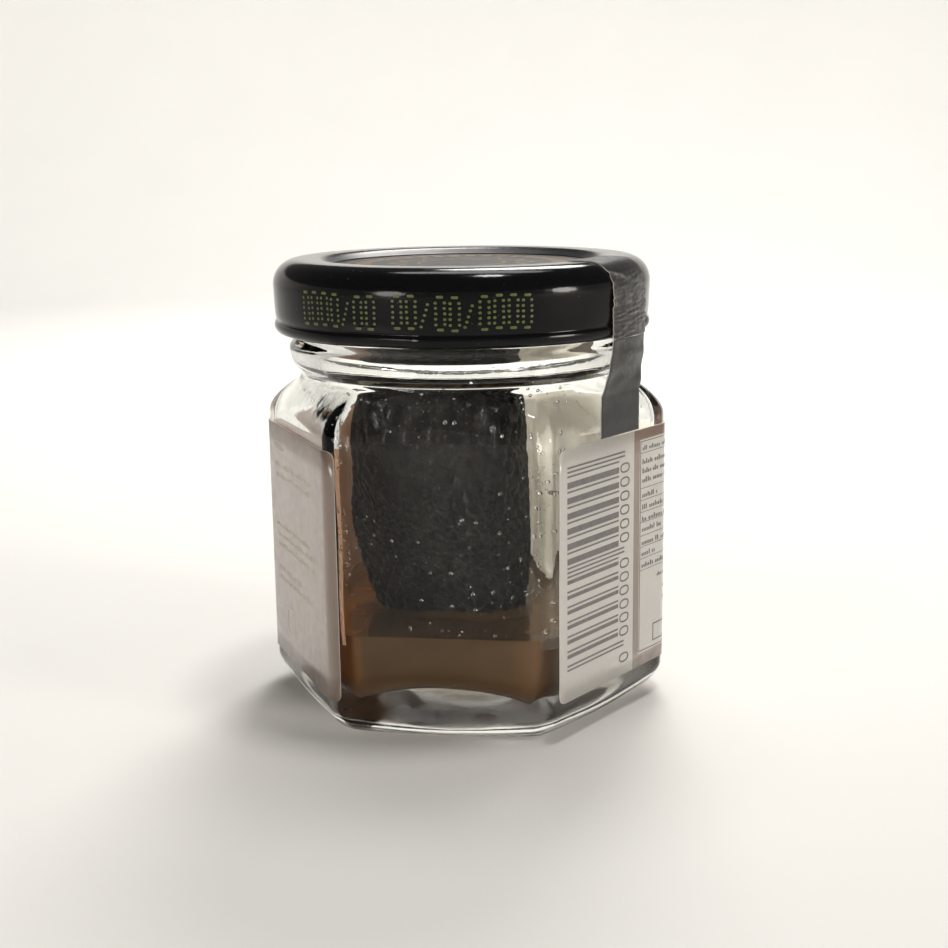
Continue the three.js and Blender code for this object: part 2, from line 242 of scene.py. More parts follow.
def ease(low, high, value):
    """0 below low, 1 above high and smooth between them."""
    t = clamp((value - low) / (high - low))
    return t * t * (3 - 2 * t)


def arc(centre, half, start, end, steps):
    """Points of an ellipse arc in (radius, height), both ends included."""
    angles = [radians(lerp(start, end, i / steps)) for i in range(steps + 1)]
    return [(centre[0] + half[0] * cos(a), centre[1] + half[1] * sin(a)) for a in angles]


def straight(start, end, steps):
    """Points of a straight line, both ends included."""
    return [(lerp(start[0], end[0], i / steps), lerp(start[1], end[1], i / steps)) for i in range(steps + 1)]


def through(points, steps):
    """A smooth line through the points, with that many steps between neighbours."""
    line = []
    last = len(points) - 1
    for i in range(last):
        a, b, c, d = (Vector(points[k]) for k in (max(i - 1, 0), i, i + 1, min(i + 2, last)))
        for step in range(steps):
            t = step / steps
            p = 2 * b + (c - a) * t + (2 * a - 5 * b + 4 * c - d) * t ** 2 + (3 * b - a - 3 * c + d) * t ** 3
            line.append((p.x / 2, p.y / 2))
    return line + [tuple(points[-1])]


def join_lines(*lines):
    """One profile from several, without the points that two neighbours share."""
    profile = []
    for line in lines:
        for point in line:
            if not profile or dist(profile[-1], point) > 1e-4:
                profile.append(point)
    return profile


def from_flat(angle):
    """Angle from the middle of the nearest flat of the hexagon."""
    return angle % SIXTH - SIXTH / 2


def hex_ratio(angle):
    """Distance to the rounded hexagon whose flats are 1 from the centre."""
    t = abs(from_flat(angle))
    corner = CORNER_RADIUS / APOTHEM
    centre = (1 - corner) / cos(pi / 6)
    if t <= atan((1 - corner) * tan(pi / 6)):
        return 1 / cos(t)
    off = pi / 6 - t
    return centre * cos(off) + sqrt(corner ** 2 - (centre * sin(off)) ** 2)


def hex_share(z):
    """1 where the jar is six-sided, 0 where it is round."""
    if z < HEEL_RISE:
        return lerp(HEEL_HEX_SHARE, 1, sin(max(z, 0) / HEEL_RISE * pi / 2))
    t = clamp((SHOULDER_END - z) / (SHOULDER_END - SHOULDER_START))
    return sin(t * pi / 2) ** 1.15


def to_hexagon(x, y, z):
    """Takes a point of a round solid to the jar's shape, with points crowded towards the corners."""
    radius = hypot(x, y)
    if radius < 1e-6:
        return Vector((0, 0, z))
    angle = atan2(y, x)
    t = from_flat(angle)
    s = abs(t) / (pi / 6)
    crowded = copysign(pi / 6 * (1 - (1 - s) ** 2), t)
    share = hex_share(z)
    turned = angle + share * (crowded - t)
    reach = radius * lerp(1, hex_ratio(turned), share)
    return Vector((reach * cos(turned), reach * sin(turned), z))


def outline_point(s):
    """Place and outward direction on the jar's outline, s anticlockwise from the first face's middle."""
    sixth = (s + FLAT_END) // SIXTH_LENGTH
    u = s - sixth * SIXTH_LENGTH
    turn = clamp((u - FLAT_END) / CORNER_RADIUS, 0, SIXTH)
    flat = FIRST_FACE + SIXTH * sixth
    out = Vector((cos(flat + turn), sin(flat + turn)))
    if turn == 0:
        return APOTHEM * out + u * Vector((-out.y, out.x)), out
    corner = flat + pi / 6
    reach = (APOTHEM - CORNER_RADIUS) / cos(pi / 6)
    return reach * Vector((cos(corner), sin(corner))) + CORNER_RADIUS * out, out


def wrapped(s, z, lift):
    """A point of the label's drawing, s along and z up, laid on the jar."""
    place, out = outline_point(s)
    place = place + lift * out
    return Vector((place.x, place.y, z))


# ---- shared mesh tools

def spun(profile, steps):
    """Spins a (radius, height) profile round the Z axis."""
    bm = bmesh.new()
    verts = [bm.verts.new((r, 0, z)) for r, z in profile]
    edges = [bm.edges.new(pair) for pair in zip(verts, verts[1:])]
    bmesh.ops.spin(bm, geom=verts + edges, cent=(0, 0, 0), axis=(0, 0, 1), dvec=(0, 0, 0),
                   angle=2 * pi, steps=steps, use_merge=True, use_duplicate=False)
    bmesh.ops.remove_doubles(bm, verts=bm.verts, dist=1e-4)
    bmesh.ops.delete(bm, geom=[edge for edge in bm.edges if edge.is_wire], context="EDGES")
    bmesh.ops.recalc_face_normals(bm, faces=bm.faces)
    return bm


def placed(name, data):
    """A new object in the scene."""
    made = bpy.data.objects.new(name, data)
    bpy.context.collection.objects.link(made)
    return made


def in_metres(name, bm, materials, smooth=True):
    """Makes an object of a mesh that was drawn in millimetres."""
    bmesh.ops.scale(bm, vec=(MM, MM, MM), verts=bm.verts)
    mesh = bpy.data.meshes.new(name)
    bm.to_mesh(mesh)
    bm.free()
    if smooth:
        mesh.shade_smooth()
    for material in materials:
        mesh.materials.append(material)
    return placed(name, mesh)


def finished(name, bm, body, nodes, materials, smooth=True):
    """Makes the piece, rides it on its body and hides the nodes that it stands for."""
    piece = in_metres(name, bm, materials, smooth)
    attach(piece, body)
    if nodes:
        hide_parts(*nodes)
    return piece


def thicken(piece, thickness, inner=0, rim=0):
    """Gives a sheet its thickness, inwards. inner and rim are steps to other material slots."""
    solid = piece.modifiers.new("Thickness", "SOLIDIFY")
    solid.thickness = thickness * MM
    solid.offset = -1
    solid.material_offset = inner
    solid.material_offset_rim = rim


# ---- materials

THIN_PAPER = {"Subsurface_Weight": 0.7, "Subsurface_Scale": 0.5 * MM, "Subsurface_Radius": (1.0, 0.96, 0.90)}


def shaded(colour, share):
    return tuple(c * share for c in colour)


class Finish:
    """A material with one Principled shader, and its patterns in millimetres of Object space."""

    def __init__(self, name, colour, roughness, **sockets):
        self.material = bpy.data.materials.new(name)
        self.material.use_nodes = True
        self.tree = self.material.node_tree
        self.shader = self.tree.nodes["Principled BSDF"]
        self.set("Base Color", (*colour, 1))
        self.set("Roughness", roughness)
        for socket, value in sockets.items():
            self.set(socket.replace("_", " "), value)
        self.place = self.scaled(self.node("ShaderNodeTexCoord", "Object"), (1 / MM,) * 3)

    def feed(self, node, values):
        """Links a socket to what is an output, and sets it to anything else."""
        for socket, value in values.items():
            if isinstance(value, bpy.types.NodeSocket):
                self.tree.links.new(value, node.inputs[socket])
            else:
                node.inputs[socket].default_value = value

    def node(self, kind, output, values=None, **options):
        """Adds a node, feeds its sockets and gives one of its outputs."""
        node = self.tree.nodes.new(kind)
        for option, choice in options.items():
            setattr(node, option, choice)
        self.feed(node, values or {})
        return node.outputs[output]

    def set(self, socket, value):
        self.feed(self.shader, {socket: value})

    def scaled(self, vector, scale):
        return self.node("ShaderNodeMapping", "Vector", {"Vector": vector, "Scale": scale})

    def axes(self, vector=None):
        return self.node("ShaderNodeSeparateXYZ", slice(3), {"Vector": vector or self.place})

    def uv(self, name):
        """The piece's own map, back in millimetres, as separate axes."""
        place = self.node("ShaderNodeUVMap", "UV", uv_map=name)
        return self.axes(self.scaled(place, (MAP_SPAN, MAP_SPAN, 1)))

    def attribute(self, name):
        return self.node("ShaderNodeAttribute", "Fac", attribute_name=name)

    def noise(self, scale, detail, stretch=None, rough=0.5, warp=0.0):
        return self.node("ShaderNodeTexNoise", "Fac", {
            "Vector": self.scaled(self.place, stretch) if stretch else self.place, "Scale": scale,
            "Detail": detail, "Roughness": rough, "Distortion": warp})

    def cells(self, scale, feature="F1"):
        return self.node("ShaderNodeTexVoronoi", "Distance", {"Vector": self.place, "Scale": scale},
                         feature=feature)

    def ramp(self, value, *stops):
        """A colour or grey for each place along a value: (place, grey or colour)."""
        node = self.tree.nodes.new("ShaderNodeValToRGB")
        self.feed(node, {"Fac": value})
        elements = node.color_ramp.elements
        for element, (place, shade) in zip(elements, sorted(stops, key=lambda stop: stop[0])):
            element.position = place
            element.color = (*shade, 1) if isinstance(shade, tuple) else (shade, shade, shade, 1)
        return node.outputs["Color"]

    def mix(self, share, a, b):
        """Colour a where share is 0 and b where it is 1."""
        a, b = (c if isinstance(c, bpy.types.NodeSocket) else (*c, 1) for c in (a, b))
        return self.node("ShaderNodeMix", 2, {0: share, 6: a, 7: b}, data_type="RGBA")

    def math(self, operation, *values):
        return self.node("ShaderNodeMath", 0, dict(enumerate(values)), operation=operation)

    def times(self, a, b):
        return self.math("MULTIPLY", a, b)

    def plus(self, a, b):
        return self.math("ADD", a, b)

    def most(self, a, b):
        return self.math("MAXIMUM", a, b)

    def above(self, value, edge):
        return self.math("GREATER_THAN", value, edge)

    def below(self, value, edge):
        return self.math("LESS_THAN", value, edge)

    def between(self, value, low, high):
        """1 where the value lies between low and high, with a soft edge."""
        middle, half, soft = (low + high) / 2, (high - low) / 2, 0.02
        away = self.math("ABSOLUTE", self.math("SUBTRACT", value, middle))
        inside = self.math("DIVIDE", self.math("SUBTRACT", half + soft / 2, away), soft)
        return self.math("SMOOTH_MIN", 1.0, self.most(0.0, inside), 0.0)

    def spread(self, value, from_low, from_high, low, high):
        return self.node("ShaderNodeMapRange", "Result", {
            "Value": value, "From Min": from_low, "From Max": from_high, "To Min": low, "To Max": high})

    def uneven_gloss(self, scale, detail, *stops):
        """Roughness that wanders between greys over a noise."""
        self.set("Roughness", self.ramp(self.noise(scale, detail), *stops))

    def bump(self, height, distance, strength):
        """Adds relief to the relief that is there."""
        values = {"Height": height, "Distance": distance * MM, "Strength": strength}
        earlier = self.shader.inputs["Normal"].links
        if earlier:
            values["Normal"] = earlier[0].from_socket
        self.set("Normal", self.node("ShaderNodeBump", "Normal", values))


def glass_finish(settings):
    finish = Finish("clear_glass", settings.glass, 0.0, IOR=1.5, Transmission_Weight=1.0,
                    Specular_Tint=(0.32, 0.32, 0.32, 1.0))
    _, y, z = finish.axes()
    inside = finish.below(finish.math("ABSOLUTE", y), APOTHEM - WALL / 2)
    height = finish.plus(z, finish.times(finish.noise(0.22, 3), 6.0))
    # A band of mist above the juice, on the inside of the wall
    band = finish.times(finish.spread(height, 13.5, 16.0, 0, 1), finish.spread(height, 23, 17.5, 0, 1))
    mist = finish.times(inside, band)
    wear = finish.ramp(finish.noise(0.35, 4), (0.55, 0.0), (0.75, 0.05))
    stippled = finish.spread(z, 1.5, 0.3, 0, 0.3)
    misty = finish.mix(finish.times(mist, 0.5), wear, (0.16, 0.16, 0.16))
    finish.set("Roughness", finish.plus(misty, stippled))
    finish.bump(finish.noise(0.16, 2, stretch=(1, 1, 0.45)), 0.10, 0.5)
    finish.bump(finish.noise(1.1, 3), 0.015, 0.5)
    return finish.material


def drop_finish():
    finish = Finish("water_drops", (1, 1, 1), 0.0, IOR=1.33, Transmission_Weight=1.0)
    finish.uneven_gloss(2.0, 2, (0.5, 0.0), (0.8, 0.04))
    return finish.material


def truffle_finish(settings):
    finish = Finish("truffle_skin", settings.skin, 0.5, Specular_IOR_Level=0.1, Coat_Weight=0.12,
                    Coat_Roughness=0.2)
    skin = finish.mix(finish.attribute("wart"), settings.groove, settings.skin)
    worn = finish.ramp(finish.noise(0.5, 5), (0.45, 0.0), (0.75, 0.5))
    skin = finish.mix(worn, skin, (0.040, 0.038, 0.034))
    # Painted highlights: tiny pale specks over the whole skin stand in for small wet glints.
    glint_specks = finish.ramp(finish.cells(1.9), (0.06, 1.0), (0.13, 0.0))
    finish.set("Base Color", finish.mix(glint_specks, skin, (0.11, 0.105, 0.09)))
    finish.uneven_gloss(1.3, 4, (0.3, 0.32), (0.7, 0.75))
    finish.bump(finish.noise(1.2, 5, rough=0.6, warp=0.8), 0.45, 1.0)
    finish.bump(finish.cells(1.5, "F2"), 0.22, 0.9)
    return finish.material


def juice_finish(settings):
    finish = Finish("truffle_juice", settings.colour, 0.08, IOR=1.34)
    x, _, z = finish.axes()
    cloud = finish.ramp(finish.noise(0.10, 4, stretch=(1, 1, 2.2), warp=1.2), (0.35, 0.0), (0.7, 1.0))
    colour = finish.mix(cloud, settings.colour, (0.088, 0.050, 0.022))
    # Painted light: lighter on the right, where light falls, and orange in the left corner, partly the colour
    # of thin juice and partly painted light shining through it; redder near the bottom
    for axis, start, full, share, tone in (
            (x, 7.5, 11.5, 1, (0.125, 0.066, 0.028)), (x, -9.2, -11.2, 1, settings.edge),
            (z, 7.6, 5.6, 0.75, (0.075, 0.036, 0.013))):
        colour = finish.mix(finish.spread(axis, start, full, 0, share), colour, tone)
    finish.set("Base Color", colour)
    finish.uneven_gloss(0.3, 3, (0.3, 0.05), (0.8, 0.14))
    finish.bump(finish.noise(0.5, 2), 0.03, 0.5)
    return finish.material


def label_finish(settings):
    finish = Finish("printed_label", settings.ground, 0.38, Coat_Weight=0.85, Coat_Roughness=0.16,
                    **THIN_PAPER)
    s, z = finish.uv("print")[:2]
    fibre = finish.noise(2.2, 5, rough=0.7)
    ground = finish.mix(finish.ramp(finish.noise(0.25, 3, stretch=(1, 1, 0.2)), (0.3, 0.0), (0.75, 1.0)),
                        settings.ground, shaded(settings.ground, 0.78))
    panel = finish.mix(fibre, settings.paper, shaded(settings.paper, 0.86))
    left, right, low, high = TABLE_PANEL
    first_panel = finish.below(s, FIRST_PANEL_END)
    table = finish.times(finish.above(s, left), finish.below(s, right))
    table = finish.times(table, finish.times(finish.above(z, low), finish.below(z, high)))
    finish.set("Base Color", finish.mix(finish.most(first_panel, table), ground, panel))
    finish.uneven_gloss(0.8, 4, (0.3, 0.30), (0.75, 0.48))
    finish.bump(fibre, 0.012, 0.6)
    finish.bump(finish.noise(0.22, 3, stretch=(1, 1, 0.3)), 0.10, 0.6)
    return finish.material


def plain_paper_finish(name, colour):
    finish = Finish(name, colour, 0.75, **THIN_PAPER)
    blotch = finish.ramp(finish.noise(0.3, 4), (0.3, shaded(colour, 0.8)), (0.75, tuple(colour)))
    finish.set("Base Color", blotch)
    finish.bump(finish.noise(3.0, 5), 0.015, 0.7)
    return finish.material


def label_back_finish(settings):
    """The glued side, darker on the last two faces: partly the brown print showing through, partly painted
    shade.
    """
    finish = Finish("label_back", settings.back, 0.75, **THIN_PAPER)
    s = finish.uv("print")[0]
    wavering = finish.plus(s, finish.times(finish.noise(0.4, 3), 4.0))
    # Mask of the last two faces, which get the painted shade.
    faces = finish.spread(wavering, 62, 66, 0, 1)
    blotch = finish.mix(finish.ramp(finish.noise(0.3, 4), (0.3, 0.0), (0.75, 1.0)),
                        settings.back, shaded(settings.back, 0.8))
    finish.set("Base Color", finish.mix(faces, blotch, settings.back_print_and_shade))
    finish.bump(finish.noise(3.0, 5), 0.015, 0.7)
    return finish.material


def ink_finish(name, colour, roughness):
    finish = Finish(name, colour, roughness)
    worn = finish.ramp(finish.noise(1.6, 5, rough=0.7), (0.35, tuple(colour)),
                       (0.8, tuple(min(1, c * 1.5 + 0.01) for c in colour)))
    finish.set("Base Color", worn)
    finish.bump(finish.noise(6.0, 3), 0.006, 0.6)
    return finish.material


def strip_finish(settings):
    finish = Finish("black_strip", settings.paper, 0.34, Specular_IOR_Level=0.3)
    # Lighter grey from the 'crease' attribute: partly scuffs on the creases, partly a painted sheen where the
    # strip bends and runs down the lid's side.
    scuff_and_sheen = finish.times(finish.attribute("crease"),
                          finish.ramp(finish.noise(2.4, 5, rough=0.7), (0.45, 0.15), (0.7, 1.0)))
    finish.set("Base Color", finish.mix(scuff_and_sheen, settings.paper, (0.30, 0.29, 0.27)))
    finish.uneven_gloss(1.1, 4, (0.3, 0.28), (0.75, 0.46))
    finish.bump(finish.noise(3.4, 4), 0.02, 0.7)
    return finish.material


def lid_finish(settings):
    finish = Finish("black_lacquer", settings.lacquer, 0.1, Specular_IOR_Level=0.17)
    x, y, z = finish.axes()
    radius = finish.math("SQRT", finish.plus(finish.times(x, x), finish.times(y, y)))
    turn = finish.math("ARCTAN2", y, x)
    rays = finish.above(finish.math("SINE", finish.times(turn, 36.0)), -0.25)
    petals = finish.times(finish.math("SINE", finish.times(turn, 12.0)), 0.9)
    wave = finish.between(finish.math("SUBTRACT", radius, petals), *LID_WAVE)
    rings = finish.most(*(finish.between(radius, *ring) for ring in LID_RINGS))
    rings = finish.most(rings, finish.times(finish.between(radius, *LID_RAYS), rays))
    rings = finish.most(rings, wave)
    printed = finish.times(rings, finish.above(z, 54.0))
    dust = finish.ramp(finish.cells(1.6), (0.035, 1.0), (0.07, 0.0))
    dust = finish.times(dust, finish.ramp(finish.noise(0.25, 2), (0.5, 0.0), (0.62, 1.0)))
    colour = finish.mix(printed, settings.lacquer, settings.ring)
    finish.set("Base Color", finish.mix(finish.times(dust, 0.7), colour, (0.34, 0.33, 0.31)))
    gloss = finish.ramp(finish.noise(0.45, 5, rough=0.65), (0.35, 0.10), (0.75, 0.16))
    satin = finish.times(finish.spread(radius, 17.5, 16.5, 0, 0.22), finish.above(z, 53.5))
    finish.set("Roughness", finish.plus(gloss, satin))
    finish.bump(finish.noise(1.5, 3), 0.02, 0.5)
    finish.bump(finish.noise(0.14, 2), 0.06, 0.5)
    return finish.material


def liner_finish():
    finish = Finish("liner_compound", (0.74, 0.70, 0.61), 0.5)
    finish.set("Base Color", finish.ramp(
        finish.noise(0.6, 3), (0.3, (0.64, 0.60, 0.52)), (0.7, (0.80, 0.76, 0.67))))
    finish.bump(finish.noise(1.8, 3), 0.03, 0.6)
    return finish.material


# ---- glass jar

SHOULDER = [(APOTHEM, 35.5), (22.08, 36.5), (21.9, 37.5), (21.6, 38.4), (21.2, 39.2), (20.8, 39.9),
            (20.45, 40.6), (20.17, 41.3), (20.12, 41.7), (20.45, 42.05), (20.9, 42.5), (21.2, 43.0),
            (21.38, 43.55), (21.5, 44.15), (21.52, 44.7), (21.25, 45.2), (20.65, 45.7), (FINISH_RADIUS, 46.1)]
FLOOR = [(19.9, 9.0), (19.6, 7.0), (18.8, 5.7), (17.4, 5.0), (15.2, 4.9), (11.5, 5.35), (6, 5.8), (0, 5.9)]


def jar_inside(grow=0.0):
    """The inner surface from the straight mouth down to the middle of the floor."""
    neck = [(MOUTH_RADIUS, 46.5), (17.95, 42.6), (18.0, 40.7), (18.7, 38.9), (19.5, 37.1),
            (APOTHEM - WALL, 35.3)]
    line = join_lines(
        straight((MOUTH_RADIUS, RIM_CENTRE[1]), (MOUTH_RADIUS, 46.5), 6), through(neck, 5),
        straight((APOTHEM - WALL, 35.3), FLOOR[0], 16), through(FLOOR, 5))
    return [(r + grow if r > 0.01 else 0.0, z - (grow if z < 9 else 0)) for r, z in line]


def jar_outside():
    land_outer = APOTHEM - HEEL_INSET
    return join_lines(
        through([(0, 1.2), (8, 1.104), (13.5, 0.6), (LAND_INNER, 0)], 4),
        straight((LAND_INNER, 0), (land_outer, 0), 6),
        arc((land_outer, HEEL_RISE), (HEEL_INSET, HEEL_RISE), -90, 0, 12),
        straight((APOTHEM, HEEL_RISE), SHOULDER[0], 16), through(SHOULDER, 4),
        straight(SHOULDER[-1], (FINISH_RADIUS, RIM_CENTRE[1]), 28))


def outer_radius(z):
    """Radius of the outside at a height, for telling the two sides of the wall apart."""
    if z < HEEL_RISE:
        return APOTHEM - HEEL_INSET + HEEL_INSET * sqrt(1 - ((HEEL_RISE - z) / HEEL_RISE) ** 2)
    for (r0, z0), (r1, z1) in zip(SHOULDER, SHOULDER[1:]):
        if z0 <= z <= z1:
            return lerp(r0, r1, (z - z0) / (z1 - z0))
    return APOTHEM if z < SHOULDER[0][1] else FINISH_RADIUS


def inner_wander(x, y, z, wave):
    """Moves a point of the inner surface: a wavy wall, and a floor that rises between the corners."""
    radius, angle = hypot(x, y), atan2(y, x)
    if radius < 1e-6:
        return x, y, z
    wall = ease(8, 14, z) * (1 - ease(40, 44, z))
    drift = noise.noise(Vector((x * 0.11, y * 0.11, z * 0.07 + 3.0)))
    radius += wave * wall * (1.6 * drift + 0.5 * sin(0.42 * z + 5 * angle))
    low = 1 - ease(6.5, 10, z)
    lift = 0.72 * cos(6 * from_flat(angle)) * ease(5, 15.5, radius)
    lift += 0.35 * noise.noise(Vector((x * 0.16, y * 0.16, 7.0)))
    return radius * cos(angle), radius * sin(angle), z + low * lift


def thread_reach(angle, z, radius):
    """Radius of the finish where a thread ridge stands on it."""
    for lug in LUG_ANGLES:
        along = (degrees(angle) - lug - THREAD_LEAD) % 360
        if along > THREAD_SWEEP:
            continue
        t = along / THREAD_SWEEP
        size = THREAD_ROUND * ease(0, 0.07, t) * (1 - ease(0.93, 1, t))
        off = z - lerp(THREAD_LOW_Z, THREAD_HIGH_Z, t)
        if abs(off) < size:
            radius = max(radius, THREAD_CENTRE_RADIUS - THREAD_ROUND + size + sqrt(size ** 2 - off ** 2))
    return radius


class TRUFFLE_JAR_OT_glass(Operator):
    """Builds the six-sided glass jar with its thread and bearing ring"""
    bl_idname = "truffle_jar.glass"
    bl_label = "Glass jar"

    def execute(self, context):
        settings = context.scene.truffle_jar.jar
        rim = arc(RIM_CENTRE, RIM_HALF, 0, 180, 10)
        bm = spun(join_lines(jar_outside(), rim, jar_inside()), JAR_STEPS)
        wave = settings.wave / MM
        for vert in bm.verts:
            x, y, z = vert.co
            radius, angle = hypot(x, y), atan2(y, x)
            if 3 < z < NECK_Z and radius < outer_radius(z) - 1:
                x, y, z = inner_wander(x, y, z, wave)
            elif THREAD_ZONE[0] < z < THREAD_ZONE[1] and radius > FINISH_RADIUS - 0.2:
                reach = thread_reach(angle, z, radius) / radius
                x, y = x * reach, y * reach
            elif z < 0.05 and LAND_INNER < radius < APOTHEM - HEEL_INSET + 0.05:
                stipple = sin(80 * angle) * sin((radius - LAND_INNER) * 3.6)
                z += STIPPLE_HEIGHT * max(0.0, stipple)
            vert.co = to_hexagon(x, y, z)
        piece = finished("glass_body", bm, "jar", ["glass_jar"], [glass_finish(settings)])
        piece.visible_shadow = False
        return {"FINISHED"}


class TRUFFLE_JAR_OT_droplets(Operator):
    """Scatters drops of condensation on the inside of the glass"""
    bl_idname = "truffle_jar.droplets"
    bl_label = "Condensation"

    def execute(self, context):
        settings = context.scene.truffle_jar.jar
        chance = random.Random(7)
        bm = bmesh.new()
        bmesh.ops.create_uvsphere(bm, u_segments=7, v_segments=4, radius=1)
        drop = bpy.data.meshes.new("drop")
        bm.to_mesh(drop)
        bm.clear()
        inside = [point for point in jar_inside() if point[1] > 12.6]
        made = 0
        while made < settings.droplets:
            z = chance.uniform(12.8, 43.0)
            angle = radians(chance.uniform(-180, 180))
            # Most drops gather in patches on the shoulder and on the bare face.
            crowd = noise.noise(Vector((cos(angle) * 2.2, sin(angle) * 2.2, z * 0.11)))
            front = max(0.0, cos(angle + pi / 2))
            if chance.random() > clamp(0.12 + 1.5 * crowd + 0.30 * front):
                continue
            line = min(zip(inside, inside[1:]), key=lambda pair: abs((pair[0][1] + pair[1][1]) / 2 - z))
            radius = (line[0][0] + line[1][0]) / 2
            x, y, z = inner_wander(radius * cos(angle), radius * sin(angle), z, settings.wave / MM)
            place = to_hexagon(x, y, z)
            size = 0.06 + 0.2 * chance.random() ** 3
            out = Vector((place.x, place.y, 0)).normalized()
            turn = out.to_track_quat("Z", "Y").to_matrix().to_4x4()
            stretch = Matrix.Diagonal((1.0, chance.uniform(0.9, 1.35), 0.55, 1.0))
            one = drop.copy()
            one.transform(Matrix.Translation(place) @ turn @ stretch @ Matrix.Scale(size, 4))
            bm.from_mesh(one)
            bpy.data.meshes.remove(one)
            made += 1
        bpy.data.meshes.remove(drop)
        piece = finished("condensation_drops", bm, "jar", (), [drop_finish()])
        piece.visible_shadow = False
        return {"FINISHED"}


# ---- truffle and juice

def lumps(d):
    """Slow bulges and hollows of the lump."""
    return (0.045 * sin(3.1 * d.x + 2.3 * d.z + 0.6) + 0.03 * sin(5.3 * d.y - 3.7 * d.z + 1.9)
            + 0.025 * sin(6.1 * d.x - 4.9 * d.y + 0.4) + 0.018 * sin(8.3 * d.z + 5.1 * d.x - 1.2))


def lump_reach(d):
    """Distance from the middle to the smooth skin in a direction."""
    half = TRUFFLE_HALF
    plan = (abs(d.x / half.x) ** PLAN_POWER + abs(d.y / half.y) ** PLAN_POWER) ** (1 / PLAN_POWER)
    tall, power = (TRUFFLE_TOP_HALF, TOP_POWER) if d.z > 0 else (half.z, HEIGHT_POWER)
    whole = (plan ** power + abs(d.z / tall) ** power) ** (1 / power)
    return (1 + lumps(d)) / whole


def beyond_truffle(x, y, z):
    """About how far a point lies outside the truffle, in millimetres."""
    p = Vector((x, y, z)) - TRUFFLE_CENTRE
    waist = 1 - TAPER * max(0.0, -p.z / TRUFFLE_HALF.z)
    p = Vector(((p.x + LEAN * p.z) / waist, p.y / waist, p.z))
    return p.length - lump_reach(p.normalized()) if p.length > 1e-6 else -10.0


class TRUFFLE_JAR_OT_truffle(Operator):
    """Builds the warty black truffle on its small flat spot"""
    bl_idname = "truffle_jar.truffle"
    bl_label = "Truffle"

    def execute(self, context):
        settings = context.scene.truffle_jar.truffle
        chance = random.Random(11)
        tree = kdtree.KDTree(settings.warts)
        heights = []
        for i in range(settings.warts):
            z = 1 - (2 * i + 1) / settings.warts
            ring = sqrt(1 - z * z)
            angle = i * GOLDEN_ANGLE
            nudge = Vector([chance.uniform(-0.035, 0.035) for _ in range(3)])
            centre = Vector((ring * cos(angle), ring * sin(angle), z)) + nudge
            tree.insert(centre.normalized(), i)
            heights.append(chance.uniform(0.55, 1.0))
        tree.balance()
        bm = bmesh.new()
        bmesh.ops.create_icosphere(bm, subdivisions=7, radius=1)
        layer = bm.verts.layers.float.new("wart")
        height = settings.wart_height / MM
        for vert in bm.verts:
            d = vert.co.normalized()
            (_, i, near), (_, _, far) = tree.find_n(d, 2)
            wart = ease(0, WART_EDGE, far - near)
            crown = wart * heights[i] * (0.8 + 0.2 * cos(near * WART_DOME))
            fine = 0.10 * noise.fractal(d * 16, 0.9, 2.1, 4) + 0.10 * noise.noise(d * 5)
            p = d * (lump_reach(d) + height * crown + fine)
            waist = 1 - TAPER * max(0.0, -p.z / TRUFFLE_HALF.z)
            p = Vector((p.x * waist - LEAN * p.z, p.y * waist, p.z)) + TRUFFLE_CENTRE
            p.z = max(p.z, TRUFFLE_REST)
            vert.co = p
            vert[layer] = wart
        finished("truffle_body", bm, "jar", ["truffle"], [truffle_finish(settings)])
        return {"FINISHED"}


class TRUFFLE_JAR_OT_juice(Operator):
    """Pours the juice, which creeps up the glass and the truffle"""
    bl_idname = "truffle_jar.juice"
    bl_label = "Truffle juice"

    def execute(self, context):
        settings = context.scene.truffle_jar
        level = settings.juice.level / MM
        wall = APOTHEM - WALL
        grow = 0.02
        creep = [(wall + grow - d, level + CREEP_HEIGHT * exp(-d / CREEP_REACH))
                 for d in (0, 0.1, 0.25, 0.45, 0.7, 1.0, 1.5, 2.2)]
        surface = creep + straight((wall - 2.6, level), (0, level), 36)
        bed = [point for point in jar_inside(grow) if point[1] < creep[0][1] - 0.2]
        bm = spun(join_lines(surface[::-1], [(wall + grow, creep[0][1] - 0.1)], bed), JAR_STEPS)
        for vert in bm.verts:
            x, y, z = vert.co
            if z < 10.9:
                x, y, z = inner_wander(x, y, z, settings.jar.wave / MM)
                vert.co = to_hexagon(x, y, z)
                continue
            p = to_hexagon(x, y, z)
            away = beyond_truffle(p.x, p.y, level)
            if hypot(x, y) < wall - 0.3:
                p.z += 0.9 * exp(-max(0.0, away) / CREEP_REACH)
                p.z += 0.03 * noise.noise(Vector((p.x * 0.3, p.y * 0.3, 0)))
            vert.co = p
        bmesh.ops.recalc_face_normals(bm, faces=bm.faces)
        finished("juice_body", bm, "jar", ["truffle_juice"], [juice_finish(settings.juice)])
        return {"FINISHED"}


# ---- label

def label_columns():
    """Places along the label where its columns stand, and how much each is trimmed at a corner."""
    end = LABEL_START + LABEL_LENGTH
    columns = []
    for i in range(9):
        a = i / 8 * pi / 2
        inward, trim = LABEL_CORNER * (1 - cos(a)), LABEL_CORNER * (1 - sin(a))
        columns += [(LABEL_START + inward, trim), (end - inward, trim)]
    for sixth in range(5):
        start = sixth * SIXTH_LENGTH
        columns += [(start + FLAT_END + i / 12 * CORNER_LENGTH, 0) for i in range(13)]
        columns += [(start + lerp(-FLAT_END, FLAT_END, i / 12), 0) for i in range(1, 12)]
    inside = [c for c in columns if c[1] > 0 or LABEL_START + 1.02 < c[0] < end - 1.02]
    inside += [(LABEL_START + LABEL_CORNER, 0), (end - LABEL_CORNER, 0)]
    return sorted(set((round(s, 4), trim) for s, trim in inside))


